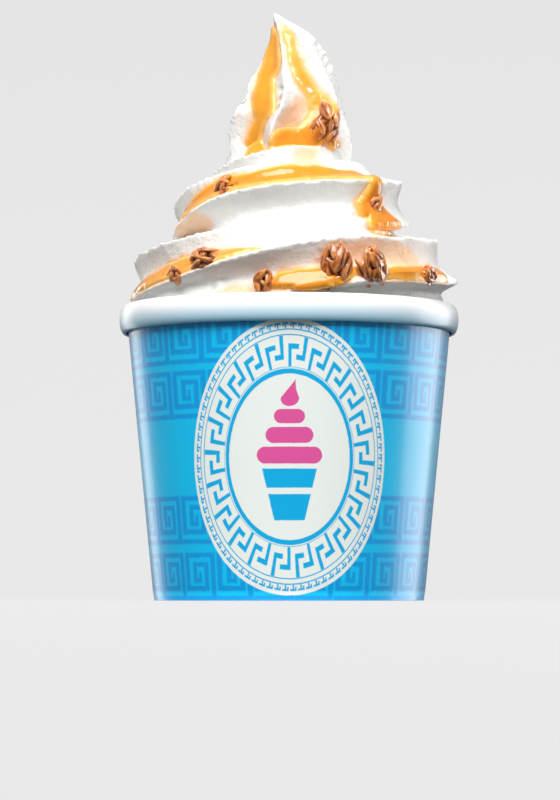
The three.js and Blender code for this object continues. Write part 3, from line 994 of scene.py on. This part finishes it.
def depth_inside(points, outline):
    """How deep each point lies inside an outline, and below 0 outside; both as flat millimetres."""
    x, y = points
    crossings = np.zeros(len(x), bool)
    nearest = np.full(len(x), 1e9)
    for place in range(len(outline)):
        x0, y0 = outline[place - 1]
        x1, y1 = outline[place]
        dx, dy = x1 - x0, y1 - y0
        share = np.clip(((x - x0) * dx + (y - y0) * dy) / (dx * dx + dy * dy + 1e-12), 0, 1)
        nearest = np.minimum(nearest, np.hypot(x - x0 - share * dx, y - y0 - share * dy))
        straddles = (y0 > y) != (y1 > y)
        with np.errstate(divide="ignore", invalid="ignore"):
            cut = x0 + (y - y0) * dx / dy
        crossings ^= straddles & (x < cut)
    return np.where(crossings, nearest, -nearest)


def patch_depth(skin_spots, places, kind, outline):
    """Depth inside one patch at each vertex in millimetres, and far below 0 away from it."""
    kinds, along, angle = places
    middle = sum(degrees for _, degrees in outline) / len(outline)
    turned = (angle - middle + 180) % 360 - 180 + middle
    from_axis = np.hypot(skin_spots[:, 0], skin_spots[:, 1])
    if kind == ROPE:
        wide, high, margin = 2 * math.pi * from_axis, np.full(len(angle), SECTION_DEGREE), 0.08
    else:
        wide, high, margin = np.ones(len(angle)), np.radians(1) * np.maximum(3, from_axis), 6
    first = min(place for place, _ in outline) - margin
    last = max(place for place, _ in outline) + margin
    near = np.nonzero((kinds == kind) & (along > first) & (along < last))[0]
    depth = np.full(len(angle), -FAR)
    points = (along[near] * wide[near], turned[near] * high[near])
    corners = [(place * wide[near], degrees * high[near]) for place, degrees in outline]
    depth[near] = np.maximum(depth_inside(points, corners), -FAR)
    return depth


def evened(values, pairs, passes):
    """Values at the vertices, each blended with its neighbours' a number of times."""
    first, second = pairs[:, 0], pairs[:, 1]
    count = np.bincount(first, minlength=len(values)) + np.bincount(second, minlength=len(values))
    for _ in range(passes):
        total = np.bincount(first, values[second], len(values))
        total += np.bincount(second, values[first], len(values))
        values = 0.5 * values + 0.5 * total / np.maximum(count, 1)
    return values


def honey_reach(skin, places):
    """At each vertex: depth inside the honey in millimetres, how full it is there, and the stain."""
    skin.verts.index_update()
    pairs = np.array([(edge.verts[0].index, edge.verts[1].index) for edge in skin.edges])
    spots = np.array([vert.co for vert in skin.verts]) / MM
    reach = np.full(len(spots), -FAR)
    fullness = np.ones(len(spots))
    for kind, patches in ((ROPE, ROPE_HONEY), (PEAK_KIND, PEAK_HONEY)):
        for outline, full in patches:
            depth = patch_depth(spots, places, kind, outline)
            fullness = np.where(depth > reach, full, fullness)
            reach = np.maximum(reach, depth)
    stained = np.full(len(spots), -FAR)
    for kind, outlines in ((ROPE, ROPE_STAINS), (PEAK_KIND, PEAK_STAINS)):
        for outline in outlines:
            stained = np.maximum(stained, patch_depth(spots, places, kind, outline))
    strays = np.array([noise.fractal(Vector(spot) * BROAD_WAVES, 0.7, 2.0, 2) for spot in spots])
    reach = np.where(spots[:, 2] < HONEY_LOWEST, -FAR, reach)
    reach = evened(reach, pairs, EVEN_PASSES) + strays * STRAY
    fullness = evened(fullness, pairs, 4 * EVEN_PASSES)
    stained = evened(stained, pairs, 3 * EVEN_PASSES) + strays * 2 * STRAY
    beside = np.clip(1 + reach / STAIN_REACH, 0, 1) ** 1.7
    patch = np.clip(0.5 + stained / STAIN_REACH, 0, 1) * STAIN_SHARE
    return reach, fullness, np.maximum(beside, patch)


def tear_crests(skin, places):
    """Makes the rope's crests a little ragged."""
    kinds, _, angle = places
    skin.normal_update()
    from_crest = np.abs((angle + 30) % 60 - 30)
    share = np.exp(-(from_crest / TEAR_DEGREES) ** 2) * (kinds == ROPE)
    moves = []
    for vert, weight in zip(skin.verts, share):
        ragged = noise.fractal(vert.co / MM / TEAR_LENGTH, 0.8, 2.0, 2) if weight > 0.05 else 0
        moves.append(vert.normal * weight * ragged * TEAR_DEPTH * MM)
    for vert, move in zip(skin.verts, moves):
        vert.co += move


def press(skin):
    """Pushes the small dents in and the small lumps out."""
    skin.normal_update()
    for x, y, z, spread, depth in PRESSES:
        middle = Vector((x, y, z)) * MM
        reach = spread * MM
        for vert in skin.verts:
            away = (vert.co - middle).length / reach
            if away < 2:
                vert.co += vert.normal * math.exp(-away * away) * depth * MM


def roughen(skin, reach):
    """Gives a skin the soft unevenness of piped yogurt."""
    skin.normal_update()
    moves = []
    for vert in skin.verts:
        spot = vert.co / MM
        broad = noise.fractal(spot * BROAD_WAVES, 0.8, 2.1, 3)
        fine = noise.fractal(spot * FINE_WAVES + FINE_OFFSET, 0.7, 2.1, 3)
        moves.append(vert.normal * (broad + fine * FINE_SHARE) * reach)
    for vert, move in zip(skin.verts, moves):
        vert.co += move


def yogurt_skin(settings):
    """The yogurt's closed skin, with its reach of honey and its stain kept at each vertex."""
    skins, samples = swirl_parts()
    skin = remeshed(joined(skins), settings.grain / MM)
    eased(skin, skin.verts, SWIRL_PASSES)
    tear_crests(skin, find_places(skin, samples))
    press(skin)
    roughen(skin, settings.roughness)
    keep_off_rim(skin)
    close_below(skin)
    kept = honey_reach(skin, find_places(skin, samples))
    for name, values in zip(("honey_reach", "honey_full", "stain"), kept):
        layer = skin.verts.layers.float.new(name)
        for vert, value in zip(skin.verts, values):
            vert[layer] = value
    return skin


# The honey

HONEY_EDGE = 1.6
HONEY_SINK = 0.25
HONEY_FLOOR = 0.7
HONEY_PASSES = 12
HONEY_LEAST = 0.12
HONEY_DEEPEST = 1.5
HONEY_INNER = 0.3
HONEY_FRINGE = 0.02


def honey_skin(yogurt):
    """A closed skin of honey, lifted off the yogurt where the patches are."""
    skin = bmesh.new()
    skin.from_mesh(yogurt.data)
    reach = skin.verts.layers.float["honey_reach"]
    full = skin.verts.layers.float["honey_full"]
    bare = [face for face in skin.faces if max(vert[reach] for vert in face.verts) < 0]
    bmesh.ops.delete(skin, geom=bare, context="FACES")
    bmesh.ops.subdivide_edges(skin, edges=skin.edges, cuts=1, use_grid_fill=True, smooth=0.0)
    skin.normal_update()
    depth = skin.verts.layers.float.new("honey_depth")
    root = skin.verts.layers.float_vector.new("root")
    lift = skin.verts.layers.float_vector.new("lift")
    for vert in skin.verts:
        vert[root] = vert.co
        vert[lift] = vert.normal
        vert[depth] = max(0, min(1, vert[reach] / HONEY_EDGE))
    made = bmesh.ops.extrude_face_region(skin, geom=list(skin.faces))
    top = [item for item in made["geom"] if isinstance(item, bmesh.types.BMVert)]
    for vert in skin.verts:
        vert.co = vert[root] - vert[lift] * HONEY_FLOOR * MM
    for vert in top:
        swell = math.sqrt(1 - (1 - vert[depth]) ** 2)
        vert.co = vert[root] + vert[lift] * ((vert[full] + HONEY_SINK) * swell - HONEY_SINK) * MM
    inner = [vert for vert in top if vert[depth] > HONEY_INNER]
    eased(skin, inner, HONEY_PASSES)
    for vert in top:
        rise = (vert.co - vert[root]).dot(vert[lift])
        least = HONEY_LEAST * MM * min(1, vert[depth] * 3)
        if vert[depth] > HONEY_FRINGE and rise < least:
            vert.co += vert[lift] * (least - rise)
            rise = least
        vert[depth] = max(0, min(1, rise / (HONEY_DEEPEST * MM))) * min(1, vert[depth] * 1.5)
    keep_off_rim(skin)
    bmesh.ops.recalc_face_normals(skin, faces=skin.faces)
    return skin


# The baked oats

CORE_SHARE = 0.7
GRAIN_RING = (0.42, 0.36, 0.46)
GRAIN_TILT = 52
GRAIN_LENGTH = 2.5
GRAIN_LEAST = 0.6
GRAIN_RANGE = 0.7
GRAINS_BASE = 3
GRAINS_PER_FLAKE = 2
GRAIN_LEVELS = 1.5
GRAIN_SWEEP = 210
GOLDEN_SHARE = 0.618
GRAIN_NOD = -34
GRAIN_NOD_STRAY = 24
USUAL_LENGTH = 9
SEED_SHIFT = 5
CLUSTER_STRAY = 0.05
RECESS_PASSES = 45
RECESS_DEPTH = 0.42
# How far a cluster leans out at its bottom in degrees, and how far it stands out, by its number
OAT_SLANTS = {3: (12, 0.5), 5: (17, 0.2), 6: (17, 1.5), 7: (17, 1.5), 8: (6, 0.8)}
OAT_SLANTS |= {number: (0, -0.7) for number in (10, 11, 12)}
OAT_SLANT = (6, 0.3)


def seeded_random(seed):
    """A generator of numbers from 0 to 1 that gives the same row each time."""
    state = seed
    while True:
        state = (state * SEED_FACTOR) % SEED_LIMIT
        yield state / SEED_LIMIT


def flake_skin(wide, thin, long, place, draw):
    """One oat flake or grain: a pointed lozenge with a crease down its length."""
    skin = bmesh.new()
    bmesh.ops.create_icosphere(skin, subdivisions=4, radius=1)
    bend = 0.3 * (draw() - 0.5)
    phase = 6 * draw()
    for vert in skin.verts:
        x, y, z = vert.co
        pinch = 1 - 0.4 * abs(z) ** 2.5
        crease = 0.3 * math.exp(-(x / 0.18) ** 2) * (1 - z * z) * (1 if y > 0 else -1)
        ridges = 0.07 * math.cos(9 * x + 2.5 * z + phase) * (1 - z * z)
        vert.co = ((x * pinch + bend * z * z) * wide, (y * pinch - crease + ridges) * thin, z * long)
    bmesh.ops.transform(skin, matrix=place, verts=skin.verts)
    return skin


def cluster_skin(index, row, voxel):
    """A cluster of flakes at its place on the yogurt, with how sunken it is kept at each vertex."""
    bearing, radius, height, width, length, lean, flakes = row
    numbers = seeded_random(FIRST_SEED + SEED_STEP * index)
    extra = seeded_random(FIRST_SEED + SEED_STEP * index + SEED_SHIFT)

    def between(low, high):
        return low + (high - low) * next(numbers)

    def draw():
        return next(extra)

    skins = []
    for flake in range(flakes):
        size = length * between(*FLAKE_SIZES)
        long, wide, thin = [share * size * CORE_SHARE for share in FLAKE_SHAPE]
        along = ((flake + 0.5) / flakes - 0.5) * 2
        tilts = [math.radians(between(-FLAKE_TILT, FLAKE_TILT)) for _ in range(3)]
        shift = Matrix.Translation((
            width * FLAKE_SPREAD[0] * between(-1, 1),
            width * FLAKE_SPREAD[1] * between(-1, 1),
            length * FLAKE_SPREAD[2] * along,
        ))
        skins.append(flake_skin(wide, thin, long, shift @ Euler(tilts, "ZYX").to_matrix().to_4x4(), draw))
    grains = GRAINS_BASE + GRAINS_PER_FLAKE * flakes
    for grain in range(grains):
        level = ((grain + 0.5) / grains - 0.5) * GRAIN_LEVELS + 0.2 * (draw() - 0.5)
        around = math.radians(-GRAIN_SWEEP / 2 + GRAIN_SWEEP * ((grain * GOLDEN_SHARE) % 1))
        narrow = math.sqrt(max(0.1, 1 - (level * 0.85) ** 2))
        spot = Matrix.Translation((
            math.sin(around) * width * GRAIN_RING[0] * narrow,
            -math.cos(around) * width * GRAIN_RING[1] * narrow,
            level * length * GRAIN_RING[2],
        ))
        tip = math.radians(GRAIN_TILT * 2 * (draw() - 0.5))
        lie = Matrix.Rotation(around, 4, "Z") @ Matrix.Rotation(tip, 4, "Y")
        nod = math.radians(GRAIN_NOD * level + GRAIN_NOD_STRAY * (draw() - 0.5))
        lie = lie @ Matrix.Rotation(nod, 4, "X")
        reach = GRAIN_LENGTH * (GRAIN_LEAST + GRAIN_RANGE * draw()) * (length / USUAL_LENGTH) ** 0.6
        broad = reach * (0.3 + 0.22 * draw())
        skins.append(flake_skin(broad, broad * 0.75, reach, spot @ lie, draw))
    whole = joined(skins)
    slant, shift_out = OAT_SLANTS.get(index + 1, OAT_SLANT)
    place = Matrix.Rotation(math.radians(bearing + 90), 4, "Z")
    place = place @ Matrix.Translation((0, -radius - shift_out, height))
    for angle, axis in ((slant, "X"), (lean, "Y")):
        place = place @ Matrix.Rotation(math.radians(angle), 4, axis)
    bmesh.ops.transform(whole, matrix=Matrix.Scale(MM, 4) @ place, verts=whole.verts)
    skin = remeshed(whole, voxel / MM)
    roughen(skin, CLUSTER_STRAY * MM)
    # How sunken each point is, which the finish turns into painted shade in the creases
    recess = skin.verts.layers.float.new("recess")
    sharp = [vert.co.copy() for vert in skin.verts]
    eased(skin, skin.verts, RECESS_PASSES)
    skin.normal_update()
    for vert, spot in zip(skin.verts, sharp):
        sunk = (vert.co - spot).dot(vert.normal) / (RECESS_DEPTH * MM)
        vert[recess] = max(0, min(1, 0.5 + sunk / 2))
        vert.co = spot
    eased(skin, skin.verts, factor=0.4)
    bmesh.ops.recalc_face_normals(skin, faces=skin.faces)
    return skin


# The stage

FLOOR_RADIUS = 2500
FLOOR_BEND = 900
FLOOR_STEPS = 12
WALL_TOP = 1900
SUN_DIRECTION = (0.2, 0.73, -1)
SUN_DEGREES = 40
SKY_BOTTOM = -0.7
SKY_TOP = 0.5
# Side lights: name, place, width, height, and power as a share of the fill light's
SIDE_LIGHTS = [("right", (507, 237, 60), 420, 460, 1.0), ("left", (-360, 428, 60), 180, 460, 0.25)]
SIDE_TARGET = (0, 0, 50)
SPARK_PLACE = (240, -430, 430)
SPARK_TARGET = (0, 0, 90)
SPARK_WIDTH = 36


def stage_skin():
    """A round floor that curves up into a wall all round."""
    angles = [math.radians(90 * step / FLOOR_STEPS) for step in range(FLOOR_STEPS + 1)]
    bend = [
        (FLOOR_RADIUS + FLOOR_BEND * math.sin(angle), FLOOR_BEND * (1 - math.cos(angle)))
        for angle in angles
    ]
    skin = spun([(0, 0), (60, 0), (600, 0)] + bend + [(FLOOR_RADIUS + FLOOR_BEND, WALL_TOP)], 96)
    for face in skin.faces:
        spot = face.calc_center_median()
        if face.normal.dot(Vector((-spot.x, -spot.y, 1))) < 0:
            face.normal_flip()
    return skin


def add_light(name, place, target, width, height, power):
    """A soft oval light, placed in millimetres, that looks at a target."""
    data = bpy.data.lights.new(name, "AREA")
    data.shape = "ELLIPSE"
    data.size = width * MM
    data.size_y = height * MM
    data.energy = power
    lamp = added(name, data)
    lamp.location = Vector(place) * MM
    lamp.rotation_euler = ((Vector(target) - Vector(place)) * MM).to_track_quat("-Z", "Y").to_euler()
    return lamp


def light_sky(tree, settings):
    """An even light from all round, weaker from below."""
    background = tree.nodes["Background"]
    background.inputs["Color"].default_value = (1, 1, 1, 1)
    direction = tree.nodes.new("ShaderNodeTexCoord")
    split = tree.nodes.new("ShaderNodeSeparateXYZ")
    share = tree.nodes.new("ShaderNodeMapRange")
    ends = {"From Min": SKY_BOTTOM, "From Max": SKY_TOP, "To Min": settings.sky_below, "To Max": settings.sky}
    for name, value in ends.items():
        share.inputs[name].default_value = value
    tree.links.new(direction.outputs["Generated"], split.inputs["Vector"])
    tree.links.new(split.outputs["Z"], share.inputs["Value"])
    tree.links.new(share.outputs["Result"], background.inputs["Strength"])


def add_camera():
    """The camera low in front of the cup, looking level across the floor and tilted up."""
    data = bpy.data.cameras.new("camera")
    data.sensor_width = 36
    data.sensor_fit = "AUTO"
    data.lens = data.sensor_width * FOCAL_PIXELS / PICTURE_HEIGHT
    data.clip_start = 10 * MM
    camera = added("camera", data)
    camera.location = Vector(CAMERA_PLACE) * MM
    tilt = math.atan((HORIZON_PIXEL - PICTURE_HEIGHT / 2) / FOCAL_PIXELS)
    camera.rotation_euler = (math.pi / 2 + tilt, 0, 0)
    bpy.context.scene.camera = camera


# Operators, one for each piece or group of like pieces

class YOGURTCUP_OT_stage(bpy.types.Operator):
    """Add the camera, the floor and the lights"""

    bl_idname = "yogurt_cup.stage"
    bl_label = "Stage"

    def execute(self, context):
        settings = context.scene.yogurt_stage
        add_camera()
        floor = surfaced("floor", stage_skin(), floor_finish(settings))
        floor.visible_diffuse = False
        floor.visible_glossy = False
        floor.visible_shadow = False
        world = bpy.data.worlds.new("studio")
        world.use_nodes = True
        light_sky(world.node_tree, settings)
        context.scene.world = world
        data = bpy.data.lights.new("key", "SUN")
        data.energy = settings.key_power
        data.angle = math.radians(SUN_DEGREES)
        key = added("key", data)
        key.rotation_euler = Vector(SUN_DIRECTION).to_track_quat("-Z", "Y").to_euler()
        for name, place, width, height, share in SIDE_LIGHTS:
            side = add_light(name, place, SIDE_TARGET, width, height, settings.fill_power * share)
            side.visible_diffuse = False
        add_light("spark", SPARK_PLACE, SPARK_TARGET, SPARK_WIDTH, SPARK_WIDTH, settings.spark_power)
        context.scene.view_settings.view_transform = "Standard"
        return {"FINISHED"}


class YOGURTCUP_OT_wall(bpy.types.Operator):
    """Make the side of the paper cup with its print"""

    bl_idname = "yogurt_cup.wall"
    bl_label = "Cup Wall"

    def execute(self, context):
        settings = context.scene.yogurt_paper
        finished("cup_wall", wall_skin(settings.steps), print_finish(settings), ["cup_side"])
        return {"FINISHED"}


class YOGURTCUP_OT_base(bpy.types.Operator):
    """Make the bottom of the paper cup"""

    bl_idname = "yogurt_cup.base"
    bl_label = "Cup Base"

    def execute(self, context):
        settings = context.scene.yogurt_paper
        material = plain_board_finish(settings)
        finished("cup_base", base_skin(settings.steps), material, ["cup_bottom"])
        return {"FINISHED"}


class YOGURTCUP_OT_swirl(bpy.types.Operator):
    """Make the frozen yogurt: the filling, the piped rope and the peak"""

    bl_idname = "yogurt_cup.swirl"
    bl_label = "Frozen Yogurt"

    def execute(self, context):
        settings = context.scene.yogurt_swirl
        finished("swirl", yogurt_skin(settings), yogurt_finish(settings), ["yogurt"])
        return {"FINISHED"}


class YOGURTCUP_OT_honey(bpy.types.Operator):
    """Run honey into the grooves of the yogurt"""

    bl_idname = "yogurt_cup.honey"
    bl_label = "Honey"

    def execute(self, context):
        settings = context.scene.yogurt_honey
        finished("honey", honey_skin(bpy.data.objects["swirl"]), honey_finish(settings))
        return {"FINISHED"}


class YOGURTCUP_OT_oats(bpy.types.Operator):
    """Set the clusters of baked oats on the yogurt"""

    bl_idname = "yogurt_cup.oats"
    bl_label = "Baked Oats"

    def execute(self, context):
        settings = context.scene.yogurt_oats
        material = oat_finish(settings)
        for index, row in enumerate(OAT_CLUSTERS):
            number = f"{index + 1:02d}"
            skin = cluster_skin(index, row, settings.grain)
            finished(f"oats_{number}", skin, material, [f"oat_cluster_{number}"])
        return {"FINISHED"}


class YOGURTCUP_PT_panel(bpy.types.Panel):
    """The cup's pieces in the sidebar"""

    bl_idname = "YOGURTCUP_PT_panel"
    bl_label = "Yogurt Cup"
    bl_space_type = "VIEW_3D"
    bl_region_type = "UI"
    bl_category = "Yogurt Cup"

    def draw(self, context):
        for operator in OPERATORS:
            self.layout.operator(operator.bl_idname)


SETTINGS = {
    "yogurt_paper": CupSettings,
    "yogurt_swirl": SwirlSettings,
    "yogurt_honey": HoneySettings,
    "yogurt_oats": OatSettings,
    "yogurt_stage": StageSettings,
}
OPERATORS = [
    YOGURTCUP_OT_stage,
    YOGURTCUP_OT_wall,
    YOGURTCUP_OT_base,
    YOGURTCUP_OT_swirl,
    YOGURTCUP_OT_honey,
    YOGURTCUP_OT_oats,
]
CLASSES = [*SETTINGS.values(), *OPERATORS, YOGURTCUP_PT_panel]


def register():
    for item in CLASSES:
        bpy.utils.register_class(item)
    for name, group in SETTINGS.items():
        setattr(bpy.types.Scene, name, PointerProperty(type=group))


def unregister():
    for name in SETTINGS:
        delattr(bpy.types.Scene, name)
    for item in reversed(CLASSES):
        bpy.utils.unregister_class(item)


def main():
    """Builds every piece."""
    register()
    bpy.ops.yogurt_cup.stage()
    bpy.ops.yogurt_cup.wall()
    bpy.ops.yogurt_cup.base()
    bpy.ops.yogurt_cup.swirl()
    bpy.ops.yogurt_cup.honey()
    bpy.ops.yogurt_cup.oats()


if __name__ == "__main__":
    main()
